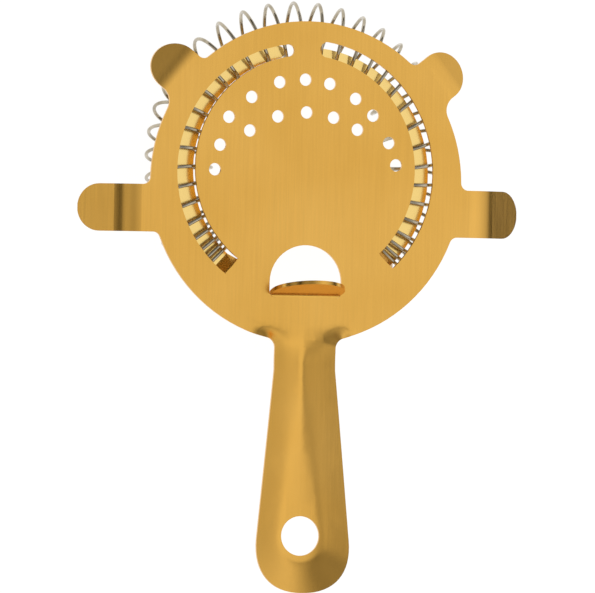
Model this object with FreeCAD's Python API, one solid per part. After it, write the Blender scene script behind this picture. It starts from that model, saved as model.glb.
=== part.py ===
"""Hawthorne strainer: one stamped sheet of steel and the coil spring that is threaded on it.

Millimetres. The origin is the centre of the round plate, on its underside, which is the face
that rests on the rim of a shaker or mixing glass. +Y is the front, away from the handle, and
+Z is up, out of the glass.

The stamping is one piece of sheet: a round plate with two ears in front, two side prongs
bent down over the rim, drain holes, a finger tab bent up out of the pour opening, a handle
pressed into a shallow trough, and two curved tongues that are set down below the plate. The
spring is one wire. It is threaded on the tongues from their free tips at the front, and it is
written as three runs, because its front and its sides are squeezed inwards in different
directions when the strainer is pushed into a glass.
"""
import FreeCAD
import Part
import math
import os

# ---- sheet and plate -------------------------------------------------------------------
SHEET = 1.0                 # thickness of the steel
PLATE_R = 42.75             # round plate
PRISM_LOW, PRISM_HIGH = -20.0, 20.0      # heights between which outlines are cut
FAR = 200.0                 # further than any part of the sheet

# ---- ears, in front ---------------------------------------------------------------------
EAR_ANGLES = (50.8, -51.8)  # from the front, degrees, positive to the left
EAR_REACH = 53.3            # from the plate's centre to the tip
EAR_HALF_WIDTH = 6.4
EAR_BEND_START = 45.0       # the ear bends down from here
EAR_BEND_R = 12.0           # radius of the upper face
EAR_BEND = 22.0             # degrees; past the bend the ear is straight
EAR_STRAIGHT = 10.0         # more than the ear's outline uses
EAR_FRONT_FILLET = 2.0
EAR_REAR_FILLET = 4.3

# ---- side prongs ------------------------------------------------------------------------
PRONG_Y = -7.7
PRONG_HALF_WIDTH = 6.3
PRONG_BEND_START = 45.2
PRONG_BEND_R = 12.0         # radius of the upper face
PRONG_BEND = 35.5           # degrees; past the bend the prong is straight
PRONG_STRAIGHT = 10.4
PRONG_TIP_INSET = 0.99      # the round end starts this share of its radius short of the tip
PRONG_FILLET = 2.0

# ---- handle -----------------------------------------------------------------------------
NECK_HALF_WIDTH = 8.35
NECK_END_Y = -50.0          # the handle widens from here
TAPER_END_Y = -95.0
GRIP_HALF_WIDTH = 12.65
HANDLE_END_Y = -109.25
END_SIDE_POLE = 8.2         # the rounded end: how far its sides carry on along the taper
END_FLAT_POLE = 9.5         # and how far its front edge stays square to the handle
NECK_FILLET = 2.8
HANG_HOLE_R = 5.25
HANG_HOLE_Y = -94.1
TROUGH_START_Y = -36.0      # the sheet is flat up to here
TROUGH_REACH_X = 16.0       # and outside this, beside the neck
TROUGH_REACH_Y = -113.0
FLANK_START_Y = -38.0
FLANK_BLEND = 3.0
DIP_START_Y = -42.0
DIP_LENGTH = 6.0
NECK_FLOOR = -1.7           # the trough's floor against the plate, just past the neck
HOLE_FLOOR = -0.35          # and at the hang hole
FLOOR_BLEND_X = 2.0         # the floor's middle stays flat
RIM_FLAT_X = 14.0           # beside the neck, the plate's rim is flat from here outwards
RIM_BLEND = 5.0
RIM_END_Y = -43.5
FLANK_SLOPE = 0.42
NECK_SOFTNESS, HOLE_SOFTNESS = 2.6, 0.8  # how gently the floor curves into the flanks
NECK_CREASE_X = 1.6         # half width of the floor where the flanks are deepest
NECK_CREASE_Y = -49.0
CORNER_CREASE_X = 9.6       # the creases start at the neck's corners
CORNER_CREASE_Y = -39.5
HOLE_CREASE_X = 6.2
CREASE_SPREAD = 1.3         # power that spreads the creases towards the hang hole
TROUGH_COLUMNS, TROUGH_ROWS = 33, 66     # of the net that the trough is drawn over

# ---- drain holes ------------------------------------------------------------------------
DRAIN_R = 1.65
# The rows are a little uneven: each hole has its own angle from the front, positive to the
# left, and its own distance from the plate's centre.
OUTER_ROW = [
    (83.5, 25.4), (68.5, 25.7), (52.0, 27.4), (34.7, 27.1), (16.5, 27.5), (1.5, 27.2),
    (-12.9, 26.9), (-30.5, 26.0), (-45.0, 25.5), (-64.3, 25.0), (-78.6, 25.1),
]
INNER_ROW = [(49.8, 20.7), (25.3, 19.1), (0.8, 18.5), (-22.6, 18.7), (-44.2, 19.8)]

# ---- pour opening and finger tab --------------------------------------------------------
TAB_X = 0.2                 # it sits slightly off the middle
TAB_R = 9.9
TAB_CENTRE_Y = -26.7
TAB_BASE_Y = -30.8
TAB_CORNER_R = 1.6
TAB_GAP = 0.1               # shear clearance round the tab
TAB_BEND = 77.0             # degrees, up and towards the front
TAB_BEND_R = 1.0            # inside radius

# ---- slots and tongues ------------------------------------------------------------------
# Angles are from the front, about the spring's centre. The two sides are not quite alike.
# Radii are at the strip's front end, half way round and at the tongue's root.
MIDDLE_STATION = 80.0
FRONT_STATION = 15.0
LEFT_STRIP = dict(
    slot_outer=(34.5, 35.55, 35.1), slot_inner=(31.2, 30.7, 29.7), slot_tip=7.0, slot_end=141.5,
    tongue_outer=(34.35, 34.95, 34.95), tongue_inner=(31.05, 30.1, 29.85), tongue_tip=9.6, root=137.0,
)
RIGHT_STRIP = dict(
    slot_outer=(35.15, 34.95, 34.9), slot_inner=(31.0, 29.95, 29.4), slot_tip=5.5, slot_end=136.3,
    tongue_outer=(33.65, 34.7, 34.75), tongue_inner=(31.0, 30.1, 29.55), tongue_tip=6.5, root=133.0,
)
TIP_LENGTH = 0.4            # of a strip's round tip, as a share of its width
TONGUE_DROP = 4.7           # from the plate's face to the tongue's
ROOT_OVERLAP = 1.5          # the ramp runs on into the plate by this much

# ---- spring -----------------------------------------------------------------------------
WIRE_R = 0.475
COIL_R = 8.7                # mean radius of a turn
COIL_CLEARANCE = 0.3        # under the plate
SPRING_Y = 2.55             # centre that the spring is bent round
FRONT_RADIUS = 36.6         # from that centre to a turn's middle, at the front
SIDE_RADIUS = 32.4          # and at the sides
RADIUS_ARC = (22.0, 96.0)   # degrees: the radius changes between these
TURN_STEP = 8.72            # degrees from one turn to the next
FRONT_SHIFT = -0.1          # degrees: the turns have slid round a little
LEFT_SIDE = dict(shift=2.9, shift_arc=71.0, lean_arc=(28.0, 50.0), root_lean=-1.8)
RIGHT_SIDE = dict(shift=2.9, shift_arc=53.0, lean_arc=(54.0, 84.0), root_lean=-3.5)
EVEN_TURNS = 12.3           # past these the turns bunch up
BUNCHING = 0.71             # degrees per turn squared
FRONT_LEAN, SIDE_LEAN = 2.15, -1.8       # degrees: how far a turn's top leads its middle
ROOT_LEAN_ARC = (100.0, 125.0)
LAST_TURN = 17.2
CUT_TURN = 5.5              # where the front run meets the side runs
CUT_GAP = 0.4               # of wire, between two runs
SPANS_PER_TURN = 6

UP = FreeCAD.Vector(0, 0, 1)
ORIGIN = FreeCAD.Vector(0, 0, 0)
X_AXIS = FreeCAD.Vector(1, 0, 0)


def vec(x, y, z=0.0):
    return FreeCAD.Vector(x, y, z)


def from_front(angle, radius, centre_y=0.0):
    """The point at an angle from the front, positive towards the left."""
    a = math.radians(angle)
    return vec(-radius * math.sin(a), centre_y + radius * math.cos(a))


def smooth(t):
    t = min(max(t, 0.0), 1.0)
    return t * t * (3.0 - 2.0 * t)


def prism(edges, low=PRISM_LOW, high=PRISM_HIGH):
    """A closed outline in the XY plane, drawn up into a solid."""
    face = Part.Face(Part.Wire(edges))
    face.translate(vec(0, 0, low))
    return face.extrude(vec(0, 0, high - low))


def block(x0, x1, y0, y1, z0=PRISM_LOW, z1=PRISM_HIGH):
    return Part.makeBox(x1 - x0, y1 - y0, z1 - z0, vec(x0, y0, z0))


def mirrored(shape):
    return shape.mirror(ORIGIN, X_AXIS)


def fillet_corners(solid, corners):
    """Round the upright edges that stand at each corner; corners are (x, y, radius)."""
    for x, y, radius in corners:
        edge = min(solid.Edges, key=lambda e: upright_distance(e, x, y))
        solid = solid.makeFillet(radius, [edge])
    return solid


def upright_distance(edge, x, y):
    a, b = edge.Vertexes[0].Point, edge.Vertexes[-1].Point
    tall = abs(b.z - a.z) > 0.9 * (PRISM_HIGH - PRISM_LOW)
    if not tall:
        return float("inf")
    return math.hypot(a.x - x, a.y - y)


# ---- the sheet's outline ----------------------------------------------------------------
def handle_outline():
    join = vec(GRIP_HALF_WIDTH, TAPER_END_Y)
    taper = (join - vec(NECK_HALF_WIDTH, NECK_END_Y)).normalize()
    end = vec(0, HANDLE_END_Y)
    curve = Part.BezierCurve()
    curve.setPoles([join, join + taper * END_SIDE_POLE, vec(END_FLAT_POLE, HANDLE_END_Y), end])
    right = [
        Part.makeLine(vec(0, 0), vec(NECK_HALF_WIDTH, 0)),
        Part.makeLine(vec(NECK_HALF_WIDTH, 0), vec(NECK_HALF_WIDTH, NECK_END_Y)),
        Part.makeLine(vec(NECK_HALF_WIDTH, NECK_END_Y), join),
        curve.toShape(),
        Part.makeLine(end, vec(0, 0)),
    ]
    half = prism(right)
    return half.fuse(mirrored(half)).removeSplitter()


def ear_outline(angle):
    """An ear, out along its own axis."""
    tip_centre = EAR_REACH - EAR_HALF_WIDTH
    bar = block(-EAR_HALF_WIDTH, EAR_HALF_WIDTH, 0, tip_centre)
    tip = Part.makeCylinder(EAR_HALF_WIDTH, PRISM_HIGH - PRISM_LOW, vec(0, tip_centre, PRISM_LOW), UP)
    ear = bar.fuse(tip)
    ear.rotate(ORIGIN, UP, angle)
    return ear


def ear_corners(angle):
    """Where the plate's edge meets an ear, on its front and on its rear."""
    along = math.sqrt(PLATE_R ** 2 - EAR_HALF_WIDTH ** 2)
    offset = math.copysign(math.degrees(math.atan2(EAR_HALF_WIDTH, along)), angle)
    front, rear = from_front(angle - offset, PLATE_R), from_front(angle + offset, PLATE_R)
    return [(front.x, front.y, EAR_FRONT_FILLET), (rear.x, rear.y, EAR_REAR_FILLET)]


def outline():
    """The whole sheet seen from above, with prong stubs that end where the prongs bend."""
    disc = Part.makeCylinder(PLATE_R, PRISM_HIGH - PRISM_LOW, vec(0, 0, PRISM_LOW), UP)
    stubs = block(-PRONG_BEND_START, PRONG_BEND_START, PRONG_Y - PRONG_HALF_WIDTH, PRONG_Y + PRONG_HALF_WIDTH)
    ears = [ear_outline(angle) for angle in EAR_ANGLES]
    shape = disc.fuse([stubs, handle_outline()] + ears).removeSplitter()
    corners = [corner for angle in EAR_ANGLES for corner in ear_corners(angle)]
    for sign in (1, -1):
        for edge_y in (PRONG_Y - PRONG_HALF_WIDTH, PRONG_Y + PRONG_HALF_WIDTH):
            corners.append((sign * math.sqrt(PLATE_R ** 2 - edge_y ** 2), edge_y, PRONG_FILLET))
        neck_y = -math.sqrt(PLATE_R ** 2 - NECK_HALF_WIDTH ** 2)
        corners.append((sign * NECK_HALF_WIDTH, neck_y, NECK_FILLET))
    return fillet_corners(shape, corners)


# ---- the sheet's form: flat, drooping ears, bent prongs, trough ---------------------------
def drooping_strip(start, radius, degrees, straight, half_width):
    """Sheet that runs along +Y, bends down from start and runs on straight. The radius is its top's."""
    a = math.radians(degrees)
    inner = radius - SHEET
    centre = vec(0, start, SHEET - radius)
    onward = vec(0, math.cos(a), -math.sin(a)) * straight

    def on(r, angle):
        return vec(0, centre.y + r * math.sin(angle), centre.z + r * math.cos(angle))

    edges = [
        Part.Arc(on(radius, 0), on(radius, a / 2), on(radius, a)).toShape(),
        Part.makeLine(on(radius, a), on(radius, a) + onward),
        Part.makeLine(on(radius, a) + onward, on(inner, a) + onward),
        Part.makeLine(on(inner, a) + onward, on(inner, a)),
        Part.Arc(on(inner, a), on(inner, a / 2), on(inner, 0)).toShape(),
        Part.makeLine(on(inner, 0), on(radius, 0)),
    ]
    face = Part.Face(Part.Wire(edges))
    face.translate(vec(-half_width, 0, 0))
    return face.extrude(vec(2 * half_width, 0, 0))


def right_prong():
    """The bent part of the right prong, with an end that is round across the sheet."""
    strip = drooping_strip(PRONG_BEND_START, PRONG_BEND_R, PRONG_BEND, PRONG_STRAIGHT, PRONG_HALF_WIDTH)
    a = math.radians(PRONG_BEND)
    along = vec(0, math.cos(a), -math.sin(a))
    normal = vec(0, math.sin(a), math.cos(a))
    centre = vec(0, PRONG_BEND_START, SHEET - PRONG_BEND_R)
    run = PRONG_STRAIGHT - PRONG_HALF_WIDTH * PRONG_TIP_INSET
    round_centre = centre + normal * PRONG_BEND_R + along * run
    reach = PRONG_BEND_R / 2
    disc = Part.makeCylinder(PRONG_HALF_WIDTH, 2 * reach, round_centre - normal * reach, normal)
    body = block(-PRONG_HALF_WIDTH, PRONG_HALF_WIDTH, -FAR, 0, -reach, reach)
    body.rotate(ORIGIN, X_AXIS, -PRONG_BEND)
    body.translate(round_centre)
    prong = strip.common(disc.fuse(body))
    prong.rotate(ORIGIN, UP, -90)
    prong.translate(vec(0, PRONG_Y, 0))
    return prong


def beyond(distance, angle):
    """Everything further out than the distance, in the direction at the angle from the front."""
    half = block(-PLATE_R, PLATE_R, distance, distance + PLATE_R)
    half.rotate(ORIGIN, UP, angle)
    return half


def towards_hole(y):
    """How far along the handle, from 0 where the trough is deepest to 1 at the hang hole."""
    return min(max((NECK_CREASE_Y - y) / (NECK_CREASE_Y - HANG_HOLE_Y), 0.0), 1.0)


def crease_x(y):
    """Half width of the trough's flat floor."""
    if y > NECK_CREASE_Y:
        t = (y - NECK_CREASE_Y) / (CORNER_CREASE_Y - NECK_CREASE_Y)
        return NECK_CREASE_X + (CORNER_CREASE_X - NECK_CREASE_X) * t * t
    return NECK_CREASE_X + (HOLE_CREASE_X - NECK_CREASE_X) * towards_hole(y) ** CREASE_SPREAD


def trough_height(x, y):
    """Height of the handle's upper face; the flanks go on round the hang hole, like a spoon."""
    along = (DIP_START_Y - y) / (DIP_START_Y - HANG_HOLE_Y)
    floor = NECK_FLOOR + (HOLE_FLOOR - NECK_FLOOR) * min(max(along, 0.0), 1.0)
    floor *= smooth((DIP_START_Y - y) / DIP_LENGTH)
    past_hole = min(y - HANG_HOLE_Y, 0.0)
    across = math.hypot(x, past_hole * GRIP_HALF_WIDTH / (HANG_HOLE_Y - HANDLE_END_Y))
    over = across - crease_x(y)
    softness = NECK_SOFTNESS + (HOLE_SOFTNESS - NECK_SOFTNESS) * towards_hole(y)
    soft = 0.5 * (over + math.hypot(over, softness))
    flank = FLANK_SLOPE * soft * smooth(across / FLOOR_BLEND_X) * smooth((FLANK_START_Y - y) / FLANK_BLEND)
    on_handle = smooth((RIM_END_Y - y) / FLANK_BLEND)
    near_neck = smooth((RIM_FLAT_X - abs(x)) / RIM_BLEND)
    return SHEET + (floor + flank) * max(on_handle, near_neck)


def trough_sheet():
    """The handle's sheet, wider and longer than its outline: a cubic surface over a net of heights."""
    columns, rows = TROUGH_COLUMNS, TROUGH_ROWS
    net = []
    for i in range(columns):
        x = TROUGH_REACH_X * (2 * i / (columns - 1) - 1)
        line = []
        for j in range(rows):
            y = TROUGH_START_Y + (TROUGH_REACH_Y - TROUGH_START_Y) * j / (rows - 1)
            line.append(vec(x, y, trough_height(x, y)))
        net.append(line)
    surface = Part.BSplineSurface()
    knots = [list(range(count - 2)) for count in (columns, rows)]
    mults = [[4] + [1] * (count - 4) + [4] for count in (columns, rows)]
    surface.buildFromPolesMultsKnots(net, mults[0], mults[1], knots[0], knots[1], False, False, 3, 3)
    return surface.toShape().extrude(vec(0, 0, -SHEET))


def blank():
    """The formed sheet before anything is cut out of it."""
    shape = outline()
    flat = block(-FAR, FAR, -FAR, FAR, 0, SHEET)
    flat = flat.cut(block(-TROUGH_REACH_X, TROUGH_REACH_X, -FAR, TROUGH_START_Y))
    ear_zones = []
    for angle in EAR_ANGLES:
        flat = flat.cut(beyond(EAR_BEND_START, angle))
        droop = drooping_strip(EAR_BEND_START, EAR_BEND_R, EAR_BEND, EAR_STRAIGHT, PLATE_R / 2)
        droop.rotate(ORIGIN, UP, angle)
        ear_zones.append(droop)
    parts = [flat.common(shape), trough_sheet().common(shape)]
    parts += [zone.common(shape) for zone in ear_zones]
    prong = right_prong()
    parts += [prong, mirrored(prong)]
    return parts[0].fuse(parts[1:])


# ---- what is cut out of the sheet and bent ------------------------------------------------
def upright_hole(radius, at):
    return Part.makeCylinder(radius, PRISM_HIGH - PRISM_LOW, at + vec(0, 0, PRISM_LOW), UP)


def drain_holes():
    return [upright_hole(DRAIN_R, from_front(angle, out)) for angle, out in OUTER_ROW + INNER_ROW]


def hang_hole():
    return upright_hole(HANG_HOLE_R, vec(0, HANG_HOLE_Y))


def half_moon(radius, centre_y, base_y):
    """A semicircle on straight sides that stand on a base line."""
    edges = [
        Part.makeLine(vec(-radius, base_y), vec(radius, base_y)),
        Part.makeLine(vec(radius, base_y), vec(radius, centre_y)),
        Part.Arc(vec(radius, centre_y), vec(0, centre_y + radius), vec(-radius, centre_y)).toShape(),
        Part.makeLine(vec(-radius, centre_y), vec(-radius, base_y)),
    ]
    return edges


def rounded_opening(radius):
    """The half-moon opening, or what stays inside it, with its lower corners rounded."""
    corners = [(sign * radius, TAB_BASE_Y, TAB_CORNER_R) for sign in (1, -1)]
    return fillet_corners(prism(half_moon(radius, TAB_CENTRE_Y, TAB_BASE_Y)), corners)


def finger_tab():
    """The flap of the pour opening, bent up round its base line."""
    bend = math.radians(TAB_BEND)
    outer = TAB_BEND_R + SHEET
    half = TAB_R - TAB_GAP
    centre = vec(0, TAB_BASE_Y, SHEET + TAB_BEND_R)

    def on(r, angle):
        return vec(-half, centre.y + r * math.sin(angle), centre.z - r * math.cos(angle))

    edges = [
        Part.Arc(on(TAB_BEND_R, 0), on(TAB_BEND_R, bend / 2), on(TAB_BEND_R, bend)).toShape(),
        Part.makeLine(on(TAB_BEND_R, bend), on(outer, bend)),
        Part.Arc(on(outer, bend), on(outer, bend / 2), on(outer, 0)).toShape(),
        Part.makeLine(on(outer, 0), on(TAB_BEND_R, 0)),
    ]
    curl = Part.Face(Part.Wire(edges)).extrude(vec(2 * half, 0, 0)).common(rounded_opening(half))
    used = (TAB_BEND_R + SHEET / 2) * bend
    straight = TAB_CENTRE_Y - TAB_BASE_Y - used
    flap = prism(half_moon(half, straight, 0.0), 0.0, SHEET)
    flap.rotate(ORIGIN, X_AXIS, TAB_BEND)
    flap.translate(on(outer, bend) + vec(half, 0, 0))
    tab = curl.fuse(flap)
    tab.translate(vec(TAB_X, 0))
    return tab


def pour_opening():
    opening = rounded_opening(TAB_R)
    opening.translate(vec(TAB_X, 0))
    return opening


def strip_edge(side, radii, strip):
    """The circle that one edge of a slot or tongue follows; side is 1 on the left, -1 on the right."""
    stations = (FRONT_STATION, MIDDLE_STATION, strip["root"])
    points = [from_front(side * angle, radius, SPRING_Y) for angle, radius in zip(stations, radii)]
    circle = Part.Arc(*points).toShape().Curve
    return circle.Center, circle.Radius


def on_edge(angle, edge):
    """Where the ray at the angle, from the spring's centre, meets an edge's circle."""
    centre, radius = edge
    away = centre - vec(0, SPRING_Y)
    ray = from_front(angle, 1.0)
    along = away.dot(ray)
    return vec(0, SPRING_Y) + ray * (along + math.sqrt(radius ** 2 - away.dot(away) + along ** 2))


def strip_outline(side, strip, kind, end):
    """A slot or a tongue seen from above: two arcs, a round tip and a square end."""
    outer = strip_edge(side, strip[kind + "_outer"], strip)
    inner = strip_edge(side, strip[kind + "_inner"], strip)
    tip_angle = side * strip[kind + "_tip"]
    tip = (on_edge(tip_angle, outer) + on_edge(tip_angle, inner)) * 0.5
    width = on_edge(tip_angle, outer).distanceToPoint(on_edge(tip_angle, inner))
    shoulder = tip_angle + side * math.degrees(TIP_LENGTH * width / SIDE_RADIUS)
    middle, end = (shoulder + side * end) / 2, side * end
    return [
        Part.Arc(on_edge(shoulder, inner), tip, on_edge(shoulder, outer)).toShape(),
        Part.Arc(on_edge(shoulder, outer), on_edge(middle, outer), on_edge(end, outer)).toShape(),
        Part.makeLine(on_edge(end, outer), on_edge(end, inner)),
        Part.Arc(on_edge(end, inner), on_edge(middle, inner), on_edge(shoulder, inner)).toShape(),
    ]


def slot(side, strip):
    return prism(strip_outline(side, strip, "slot", strip["slot_end"]))


def ramp(side, strip):
    """The joggle at the tongue's root, as wide as needed; the tongue's outline trims it."""
    mean_r = (strip["tongue_outer"][-1] + strip["tongue_inner"][-1]) / 2
    length = math.radians(strip["slot_end"] - strip["root"]) * mean_r
    slope = math.hypot(length, TONGUE_DROP)
    step = vec(0, SHEET * TONGUE_DROP / slope, -SHEET * length / slope)
    low, high = vec(0, 0, SHEET - TONGUE_DROP), vec(0, length, SHEET)
    run = length / TONGUE_DROP
    low_under = low + step
    low_corner = low_under + vec(0, -run, -1) * (low_under.z - low.z + SHEET)
    high_under = high + step
    high_corner = high_under + vec(0, run, 1) * (0.0 - high_under.z)
    points = [
        low + vec(0, -ROOT_OVERLAP, 0),
        low,
        high,
        high + vec(0, ROOT_OVERLAP, 0),
        vec(0, high.y + ROOT_OVERLAP, 0),
        high_corner,
        low_corner,
        low + vec(0, -ROOT_OVERLAP, -SHEET),
    ]
    reach = strip["slot_outer"][-1] - strip["slot_inner"][-1]
    body = Part.Face(Part.makePolygon(points + [points[0]])).extrude(vec(2 * reach, 0, 0))
    body.translate(vec(-reach, 0, 0))
    body.rotate(ORIGIN, UP, -90)
    body.translate(vec(0, mean_r, 0))
    body.rotate(ORIGIN, UP, -strip["root"])
    body.translate(vec(0, SPRING_Y, 0))
    if side > 0:
        return mirrored(body)
    return body


def tongue(side, strip):
    flat = prism(strip_outline(side, strip, "tongue", strip["root"]), -TONGUE_DROP, SHEET - TONGUE_DROP)
    root_end = strip["slot_end"] + ROOT_OVERLAP
    root = prism(strip_outline(side, strip, "tongue", root_end))
    return flat.fuse(ramp(side, strip).common(root))


def strainer_plate():
    strips = [(1, LEFT_STRIP), (-1, RIGHT_STRIP)]
    cutters = drain_holes() + [hang_hole(), pour_opening()]
    cutters += [slot(side, strip) for side, strip in strips]
    sheet = blank().cut(cutters)
    tongues = [tongue(side, strip) for side, strip in strips]
    return sheet.fuse([finger_tab()] + tongues).removeSplitter()


# ---- the spring ---------------------------------------------------------------------------
def between(front, side, t):
    return front + (side - front) * smooth(t)


def side_of(n):
    return LEFT_SIDE if n > 0 else RIGHT_SIDE


def turn_angle(n):
    """Degrees from the front, positive to the left, after n turns."""
    side = side_of(n)
    even = TURN_STEP * n
    past = max(abs(n) - EVEN_TURNS, 0.0)
    slid = between(FRONT_SHIFT, side["shift"], abs(even) / side["shift_arc"])
    return even + slid - math.copysign(BUNCHING * past * past, n)


def share(angle, arc):
    """How far round an arc of the spring the angle is, from 0 at its start to 1 at its end."""
    return (abs(angle) - arc[0]) / (arc[1] - arc[0])


def coil_radius(angle):
    return between(FRONT_RADIUS, SIDE_RADIUS, share(angle, RADIUS_ARC))


def coil_lean(angle, side):
    lean = between(FRONT_LEAN, SIDE_LEAN, share(angle, side["lean_arc"]))
    return lean + between(0.0, side["root_lean"] - SIDE_LEAN, share(angle, ROOT_LEAN_ARC))


def wire_point(n):
    """The wire's middle after n turns; whole turns are at the top of the coil."""
    theta = 2 * math.pi * n
    angle = turn_angle(n)
    out = coil_radius(angle) + COIL_R * math.sin(theta)
    at = from_front(angle + coil_lean(angle, side_of(n)) * math.cos(theta), out, SPRING_Y)
    return at + vec(0, 0, COIL_R * (math.cos(theta) - 1) - COIL_CLEARANCE - WIRE_R)


def wire_direction(n):
    step = 1e-5
    return (wire_point(n + step) - wire_point(n - step)).normalize()


def biarc(p0, t0, p1, t1):
    """Two tangent arcs from p0 to p1 that leave along t0 and arrive along t1."""
    v = p1 - p0
    t = t0 + t1
    a = 2 * (1 - t0.dot(t1))
    b = 2 * v.dot(t)
    c = -v.dot(v)
    d = (-b + math.sqrt(b * b - 4 * a * c)) / (2 * a)
    meet = (p0 + p1 + (t0 - t1) * d) * 0.5
    return [tangent_arc(p0, t0, meet), tangent_arc(p1, t1 * -1, meet, backwards=True)]


def tangent_arc(start, tangent, end, backwards=False):
    chord = end - start
    sine = tangent.cross(chord).Length / chord.Length
    cosine = tangent.dot(chord) / chord.Length
    half_turn = math.atan2(sine, cosine)
    across = (tangent - chord * (tangent.dot(chord) / chord.dot(chord))).normalize()
    middle = start + chord * 0.5 + across * (0.5 * chord.Length * math.tan(half_turn / 2))
    if backwards:
        return Part.Arc(end, middle, start).toShape()
    return Part.Arc(start, middle, end).toShape()


def spring_run(first, last):
    """The wire between two turn numbers."""
    spans = max(1, round((last - first) * SPANS_PER_TURN))
    stations = [first + (last - first) * i / spans for i in range(spans + 1)]
    path = []
    for a, b in zip(stations, stations[1:]):
        path += biarc(wire_point(a), wire_direction(a), wire_point(b), wire_direction(b))
    circle = Part.makeCircle(WIRE_R, wire_point(first), wire_direction(first))
    return Part.Wire(path).makePipeShell([Part.Wire(circle)], True, False)


def spring_runs():
    gap = CUT_GAP / 2 / (2 * math.pi * COIL_R)
    return {
        "spring_right_run": spring_run(-LAST_TURN, -CUT_TURN - gap),
        "spring_front_run": spring_run(-CUT_TURN + gap, CUT_TURN - gap),
        "spring_left_run": spring_run(CUT_TURN + gap, LAST_TURN),
    }


def main():
    os.makedirs("parts", exist_ok=True)
    nodes = {"strainer_plate": strainer_plate()}
    nodes.update(spring_runs())
    for name, shape in nodes.items():
        shape.exportStep(f"parts/{name}.step")
        print(name, len(shape.Solids), shape.isValid(), f"{shape.Volume:.1f} mm3", shape.BoundBox)


main()
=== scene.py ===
"""Looks of the hawthorne strainer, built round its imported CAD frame. Metres, +Z up, +Y to the front."""

import math

import bpy
from mathutils import Matrix, Vector


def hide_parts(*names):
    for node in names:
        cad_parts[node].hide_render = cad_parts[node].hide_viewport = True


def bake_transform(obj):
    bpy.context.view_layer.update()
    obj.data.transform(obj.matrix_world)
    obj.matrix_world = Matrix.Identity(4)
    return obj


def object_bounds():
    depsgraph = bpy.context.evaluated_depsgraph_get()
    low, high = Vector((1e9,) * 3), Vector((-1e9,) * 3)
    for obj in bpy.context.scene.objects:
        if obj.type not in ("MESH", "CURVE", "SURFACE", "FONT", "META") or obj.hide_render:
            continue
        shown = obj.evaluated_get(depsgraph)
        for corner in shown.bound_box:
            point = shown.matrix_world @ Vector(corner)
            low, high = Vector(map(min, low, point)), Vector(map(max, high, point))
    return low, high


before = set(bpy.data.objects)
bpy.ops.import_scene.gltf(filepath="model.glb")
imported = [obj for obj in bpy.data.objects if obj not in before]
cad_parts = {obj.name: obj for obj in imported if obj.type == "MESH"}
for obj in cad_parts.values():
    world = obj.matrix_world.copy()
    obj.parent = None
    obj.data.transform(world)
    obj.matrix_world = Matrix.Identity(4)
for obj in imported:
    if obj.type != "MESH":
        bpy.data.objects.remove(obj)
cad_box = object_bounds()

MM = 0.001

# ---- the spring's driving sizes, as in the CAD source ------------------------------------
WIRE_R = 0.475 * MM
COIL_R = 8.7 * MM
COIL_CLEARANCE = 0.3 * MM
SPRING_Y = 2.55 * MM
FRONT_RADIUS, SIDE_RADIUS = 36.6 * MM, 32.4 * MM
RADIUS_ARC = (22.0, 96.0)
TURN_STEP = 8.72
FRONT_SHIFT = -0.1
LEFT_SIDE = dict(shift=2.9, shift_arc=71.0, lean_arc=(28.0, 50.0), root_lean=-1.8)
RIGHT_SIDE = dict(shift=2.9, shift_arc=53.0, lean_arc=(54.0, 84.0), root_lean=-3.5)
EVEN_TURNS, BUNCHING = 12.3, 0.71
FRONT_LEAN, SIDE_LEAN = 2.15, -1.8
ROOT_LEAN_ARC = (100.0, 125.0)
LAST_TURN = 17.2
RINGS_PER_TURN = 64
RING_SIDES = 14
END_ROUNDING = 0.12 * MM
TANGENT_STEP = 1e-4                      # in turns

# ---- camera: straight down on the plate, tipped to its left and rolled a little -----------
TIP = math.radians(15.2)
ROLL = math.radians(1.04)
VIEW_WIDTH = 158.15 * MM
DISTANCE = 3.0
SENSOR = 36.0
AIM_RIGHT, AIM_UP = -2.44 * MM, -30.43 * MM      # of the picture's middle from the plate's centre
PLATE_TOP = 1.0 * MM

# ---- finishes -----------------------------------------------------------------------------
SATIN_DARK, SATIN_LIGHT = (0.74, 0.405, 0.076, 1), (0.80, 0.455, 0.10, 1)
SATIN_ROUGHNESS = (0.20, 0.27)
SATIN_CLOUD_SCALE, WIRE_CLOUD_SCALE, GRAIN_SCALE = 28.0, 300.0, 5200.0
BRUSH_STRETCH = (2600, 60, 2600)         # fine across the handle and long along it
NO_STRETCH = (1, 1, 1)
NOISE_LOW, NOISE_HIGH = 0.3, 0.7         # between which nearly all of a noise lies
RELIEF = 0.02 * MM
BRUSH_STRENGTH, GRAIN_STRENGTH = 0.10, 0.12
EDGE_BREAK, EDGE_SEGMENTS, EDGE_ANGLE = 0.12 * MM, 2, math.radians(35)
TONGUE_TOP = -3.7 * MM
TONGUE_FADE = (1.2 * MM, 0.2 * MM)       # heights over the tops between which the painted sheen and the lower roughness come in
TONGUE_REACH = (42 * MM, 41 * MM)        # distances from the origin over which it comes in
TONGUE_ROUGHNESS = 0.17
# painted sheen: a lighter gold that stands in for the light the tongues reflect through the slots
TONGUE_PAINTED_SHEEN = (0.92, 0.66, 0.23, 1)
WIRE_DARK, WIRE_LIGHT = (0.36, 0.31, 0.22, 1), (0.56, 0.50, 0.39, 1)
WIRE_ROUGHNESS = (0.12, 0.20)
FLOOR_GREY, FLOOR_ROUGHNESS, FLOOR_GLOW = 0.12, 0.9, 0.96
FLOOR_HALF = 1.5

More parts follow.
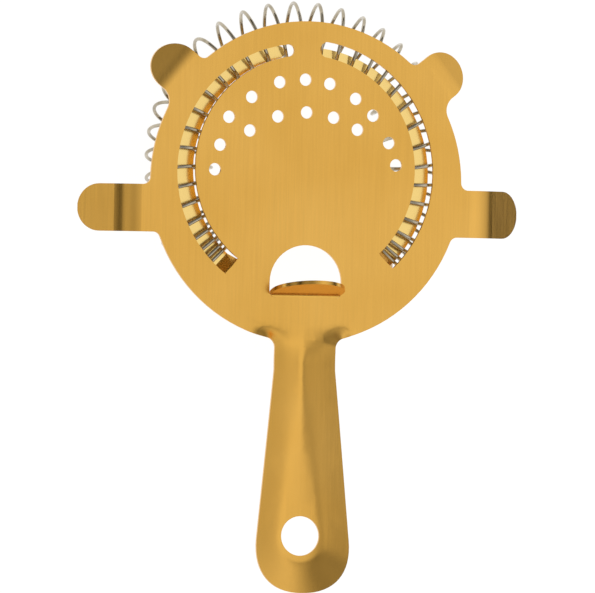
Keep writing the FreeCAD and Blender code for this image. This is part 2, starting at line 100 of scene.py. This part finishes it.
# ---- sky: brightness by the angle to the right of straight up, and by how far to the front --
SKY = [(-90, 0.05), (-74, 0.55), (-64, 0.92), (-54, 0.92), (-49, 0.10), (-36, 0.06), (-31, 0.70), (-20, 0.70),
       (-10, 0.55), (-2, 0.52), (4, 0.62), (9, 0.85), (15, 1.03), (34, 1.03), (50, 0.86), (62, 0.72),
       (70, 0.55), (77, 0.12), (90, 0.04)]
FRONT_SHADE = [(0.0, 1.0), (0.20, 0.95), (0.27, 0.40), (0.33, 0.40), (0.42, 0.62), (1.0, 0.45)]
FRONT_SHADE_END = (15.0, 38.0)           # degrees to the right over which the front's shade fades
LOW_SKY = (0.12, 0.34)                   # height of the directions over which the horizon darkens
HORIZON_LEVEL = 0.05


def smooth(t):
    t = min(max(t, 0.0), 1.0)
    return t * t * (3.0 - 2.0 * t)


def between(front, side, t):
    return front + (side - front) * smooth(t)


# ---- materials ----------------------------------------------------------------------------
def new_material(name):
    material = bpy.data.materials.new(name)
    material.use_nodes = True
    tree = material.node_tree
    return material, tree, tree.nodes["Principled BSDF"]


def noise(tree, vector, scale, detail=2.0, roughness=0.5):
    node = tree.nodes.new("ShaderNodeTexNoise")
    node.inputs["Scale"].default_value = scale
    node.inputs["Detail"].default_value = detail
    node.inputs["Roughness"].default_value = roughness
    tree.links.new(vector, node.inputs["Vector"])
    return node.outputs["Fac"]


def stretched(tree, scale):
    coordinates = tree.nodes.new("ShaderNodeTexCoord")
    mapping = tree.nodes.new("ShaderNodeMapping")
    mapping.inputs["Scale"].default_value = scale
    tree.links.new(coordinates.outputs["Object"], mapping.inputs["Vector"])
    return mapping.outputs["Vector"]


def ramp(tree, fac, stops):
    node = tree.nodes.new("ShaderNodeValToRGB")
    elements = node.color_ramp.elements
    elements[0].position, elements[0].color = stops[0]
    elements[1].position, elements[1].color = stops[-1]
    for position, color in stops[1:-1]:
        elements.new(position).color = color
    tree.links.new(fac, node.inputs["Fac"])
    return node.outputs["Color"]


def map_range(tree, value, low, high, to_low, to_high):
    node = tree.nodes.new("ShaderNodeMapRange")
    node.inputs["From Min"].default_value = low
    node.inputs["From Max"].default_value = high
    node.inputs["To Min"].default_value = to_low
    node.inputs["To Max"].default_value = to_high
    tree.links.new(value, node.inputs["Value"])
    return node.outputs["Result"]


def bump(tree, shader, layers):
    """Layers are (height, distance, strength), one on another."""
    normal = None
    for height, distance, strength in layers:
        node = tree.nodes.new("ShaderNodeBump")
        node.inputs["Distance"].default_value = distance
        node.inputs["Strength"].default_value = strength
        tree.links.new(height, node.inputs["Height"])
        if normal is not None:
            tree.links.new(normal, node.inputs["Normal"])
        normal = node.outputs["Normal"]
    tree.links.new(normal, shader.inputs["Normal"])


def gold_steel():
    """Satin gold coating on sheet steel, brushed along the handle."""
    material, tree, shader = new_material("satin_gold")
    cloud = noise(tree, stretched(tree, NO_STRETCH), SATIN_CLOUD_SCALE, 3.0)
    brushed = noise(tree, stretched(tree, BRUSH_STRETCH), 1.0, 3.0)
    grain = noise(tree, stretched(tree, NO_STRETCH), GRAIN_SCALE)
    color = ramp(tree, cloud, [(NOISE_LOW, SATIN_DARK), (NOISE_HIGH, SATIN_LIGHT)])
    satin = map_range(tree, brushed, NOISE_LOW, NOISE_HIGH, *SATIN_ROUGHNESS)
    # the tongues get a painted sheen, a lighter gold for the light they reflect, and a lower roughness
    tongue_sheen_and_polish = on_tongues(tree)
    tree.links.new(mixed(tree, "RGBA", tongue_sheen_and_polish, color, TONGUE_PAINTED_SHEEN), shader.inputs["Base Color"])
    tree.links.new(mixed(tree, "FLOAT", tongue_sheen_and_polish, satin, TONGUE_ROUGHNESS), shader.inputs["Roughness"])
    shader.inputs["Metallic"].default_value = 1.0
    bump(tree, shader, [(brushed, RELIEF, BRUSH_STRENGTH), (grain, RELIEF, GRAIN_STRENGTH)])
    return material


def on_tongues(tree):
    """1 on the tongues, which get a painted sheen (a lighter gold standing in for reflected light) and a
    lower roughness, and 0 elsewhere.
    """
    coordinates = tree.nodes.new("ShaderNodeTexCoord")
    split = tree.nodes.new("ShaderNodeSeparateXYZ")
    tree.links.new(coordinates.outputs["Object"], split.inputs["Vector"])
    distance = tree.nodes.new("ShaderNodeVectorMath")
    distance.operation = "LENGTH"
    tree.links.new(coordinates.outputs["Object"], distance.inputs[0])
    heights = [TONGUE_TOP + over for over in TONGUE_FADE]
    low = map_range(tree, split.outputs["Z"], *heights, 0.0, 1.0)
    near = map_range(tree, distance.outputs["Value"], *TONGUE_REACH, 0.0, 1.0)
    return multiplied(tree, low, near)


def multiplied(tree, first, second):
    node = tree.nodes.new("ShaderNodeMath")
    node.operation = "MULTIPLY"
    tree.links.new(first, node.inputs[0])
    tree.links.new(second, node.inputs[1])
    return node.outputs[0]


def mixed(tree, kind, share_of_b, a, b):
    """a where the share is 0 and b, a constant, where it is 1."""
    node = tree.nodes.new("ShaderNodeMix")
    node.data_type = kind
    socket = {"FLOAT": 0, "RGBA": 2}[kind]
    tree.links.new(share_of_b, node.inputs[0])
    tree.links.new(a, node.inputs[2 + socket * 2])
    node.inputs[3 + socket * 2].default_value = b
    return node.outputs[socket]


def spring_steel():
    """Bright drawn wire."""
    material, tree, shader = new_material("drawn_steel")
    cloud = noise(tree, stretched(tree, NO_STRETCH), WIRE_CLOUD_SCALE)
    color = ramp(tree, cloud, [(NOISE_LOW, WIRE_DARK), (NOISE_HIGH, WIRE_LIGHT)])
    roughness = map_range(tree, cloud, NOISE_LOW, NOISE_HIGH, *WIRE_ROUGHNESS)
    tree.links.new(color, shader.inputs["Base Color"])
    tree.links.new(roughness, shader.inputs["Roughness"])
    shader.inputs["Metallic"].default_value = 1.0
    return material


def floor_paper():
    material, tree, shader = new_material("pale_floor")
    shader.inputs["Base Color"].default_value = (FLOOR_GREY, FLOOR_GREY, FLOOR_GREY, 1)
    shader.inputs["Roughness"].default_value = FLOOR_ROUGHNESS
    shader.inputs["Emission Color"].default_value = (1, 1, 1, 1)
    shader.inputs["Emission Strength"].default_value = FLOOR_GLOW
    return material


# ---- the spring ---------------------------------------------------------------------------
def side_of(n):
    return LEFT_SIDE if n > 0 else RIGHT_SIDE


def share(angle, arc):
    return (abs(angle) - arc[0]) / (arc[1] - arc[0])


def turn_angle(n):
    side = side_of(n)
    even = TURN_STEP * n
    past = max(abs(n) - EVEN_TURNS, 0.0)
    slid = between(FRONT_SHIFT, side["shift"], abs(even) / side["shift_arc"])
    return even + slid - math.copysign(BUNCHING * past * past, n)


def coil_lean(angle, side):
    lean = between(FRONT_LEAN, SIDE_LEAN, share(angle, side["lean_arc"]))
    return lean + between(0.0, side["root_lean"] - SIDE_LEAN, share(angle, ROOT_LEAN_ARC))


def wire_point(n):
    """The wire's middle after n turns from the front, positive to the left."""
    theta = 2 * math.pi * n
    angle = turn_angle(n)
    out = between(FRONT_RADIUS, SIDE_RADIUS, share(angle, RADIUS_ARC)) + COIL_R * math.sin(theta)
    a = math.radians(angle + coil_lean(angle, side_of(n)) * math.cos(theta))
    height = COIL_R * (math.cos(theta) - 1) - COIL_CLEARANCE - WIRE_R
    return Vector((-out * math.sin(a), SPRING_Y + out * math.cos(a), height))


def wire_mesh(name, first, last):
    """A closed round wire from one turn number to another, its ends a little rounded."""
    count = round(abs(last - first) * RINGS_PER_TURN) + 1
    vertices = []
    faces = []
    rings = 0

    def add_ring(centre, across, up, radius):
        nonlocal rings
        for k in range(RING_SIDES):
            a = 2 * math.pi * k / RING_SIDES
            vertices.append(centre + (across * math.cos(a) + up * math.sin(a)) * radius)
        if rings:
            base = (rings - 1) * RING_SIDES
            for k in range(RING_SIDES):
                m = (k + 1) % RING_SIDES
                faces.append((base + k, base + m, base + RING_SIDES + m, base + RING_SIDES + k))
        rings += 1

    normal = Vector((0, 0, 1))
    step = (last - first) / (count - 1)
    for i in range(count):
        n = first + step * i
        centre = wire_point(n)
        ahead = (wire_point(n + TANGENT_STEP) - wire_point(n - TANGENT_STEP)).normalized()
        normal = (normal - ahead * normal.dot(ahead)).normalized()
        side = ahead.cross(normal)
        if i == 0:
            add_ring(centre, normal, side, WIRE_R - END_ROUNDING)
            add_ring(centre + ahead * END_ROUNDING, normal, side, WIRE_R)
        elif i == count - 1:
            add_ring(centre - ahead * END_ROUNDING, normal, side, WIRE_R)
            add_ring(centre, normal, side, WIRE_R - END_ROUNDING)
        else:
            add_ring(centre, normal, side, WIRE_R)
    faces.append(tuple(reversed(range(RING_SIDES))))
    faces.append(tuple(range((rings - 1) * RING_SIDES, rings * RING_SIDES)))
    mesh = bpy.data.meshes.new(name)
    mesh.from_pydata(vertices, [], faces)
    mesh.validate()
    for face in mesh.polygons:
        face.use_smooth = len(face.vertices) == 4
    return mesh


def make_spring(material):
    for name, end, body, runs in (
        ("spring_left_half", LAST_TURN, "spring_left", ("spring_front_run", "spring_left_run")),
        ("spring_right_half", -LAST_TURN, "spring_right", ("spring_front_run", "spring_right_run")),
    ):
        mesh = wire_mesh(name, min(0.0, end), max(0.0, end))
        mesh.materials.append(material)
        half = bpy.data.objects.new(name, mesh)
        bpy.context.collection.objects.link(half)
        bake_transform(half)
        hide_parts(*runs)


# ---- the plate ----------------------------------------------------------------------------
def finish_plate(material):
    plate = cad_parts["strainer_plate"]
    plate.data.materials.clear()
    plate.data.materials.append(material)
    bevel = plate.modifiers.new("edge_break", "BEVEL")
    bevel.width = EDGE_BREAK
    bevel.segments = EDGE_SEGMENTS
    bevel.limit_method = "ANGLE"
    bevel.angle_limit = EDGE_ANGLE
    bevel.use_clamp_overlap = False
    bevel.harden_normals = True


# ---- stage --------------------------------------------------------------------------------
def make_floor(material):
    low = cad_box[0][2]
    corners = [(x * FLOOR_HALF, y * FLOOR_HALF, low) for x, y in ((-1, -1), (1, -1), (1, 1), (-1, 1))]
    mesh = bpy.data.meshes.new("floor")
    mesh.from_pydata(corners, [], [(0, 1, 2, 3)])
    mesh.materials.append(material)
    floor = bpy.data.objects.new("floor", mesh)
    bpy.context.collection.objects.link(floor)


def make_camera():
    turn = Matrix.Rotation(ROLL, 3, "Z")
    right = turn @ Vector((math.cos(TIP), 0, math.sin(TIP)))
    up = turn @ Vector((0, 1, 0))
    back = turn @ Vector((-math.sin(TIP), 0, math.cos(TIP)))
    aim = Vector((0, 0, PLATE_TOP)) + right * AIM_RIGHT + up * AIM_UP
    data = bpy.data.cameras.new("camera")
    data.sensor_width = SENSOR
    data.lens = SENSOR * DISTANCE / VIEW_WIDTH
    camera = bpy.data.objects.new("camera", data)
    place = Matrix((right, up, back)).transposed().to_4x4()
    place.translation = aim + back * DISTANCE
    camera.matrix_world = place
    bpy.context.collection.objects.link(camera)
    bpy.context.scene.camera = camera


def grey_stops(levels, low, high):
    return [((at - low) / (high - low), (level, level, level, 1)) for at, level in levels]


def make_lights():
    """A soft studio as a sky: bright overhead, with darker strips, a dark horizon and a darker front."""
    world = bpy.data.worlds.new("studio")
    bpy.context.scene.world = world
    world.use_nodes = True
    tree = world.node_tree
    background = tree.nodes["Background"]
    coordinates = tree.nodes.new("ShaderNodeTexCoord")
    split = tree.nodes.new("ShaderNodeSeparateXYZ")
    tree.links.new(coordinates.outputs["Generated"], split.inputs["Vector"])
    angle = tree.nodes.new("ShaderNodeMath")
    angle.operation = "ARCTAN2"
    tree.links.new(split.outputs["X"], angle.inputs[0])
    tree.links.new(split.outputs["Z"], angle.inputs[1])
    across = map_range(tree, angle.outputs[0], -math.pi / 2, math.pi / 2, 0.0, 1.0)
    strips = ramp(tree, across, grey_stops(SKY, -90, 90))
    front = ramp(tree, split.outputs["Y"], grey_stops(FRONT_SHADE, 0.0, 1.0))
    start, end = (math.radians(limit) for limit in FRONT_SHADE_END)
    right = map_range(tree, angle.outputs[0], start, end, 0.0, 1.0)
    shade = mixed(tree, "RGBA", right, front, (1, 1, 1, 1))
    high = map_range(tree, split.outputs["Z"], *LOW_SKY, HORIZON_LEVEL, 1.0)
    tree.links.new(strips, background.inputs["Color"])
    tree.links.new(multiplied(tree, shade, high), background.inputs["Strength"])


bpy.context.scene.view_settings.view_transform = "Standard"
make_camera()
gold = gold_steel()
steel = spring_steel()
finish_plate(gold)
make_spring(steel)
make_floor(floor_paper())
make_lights()
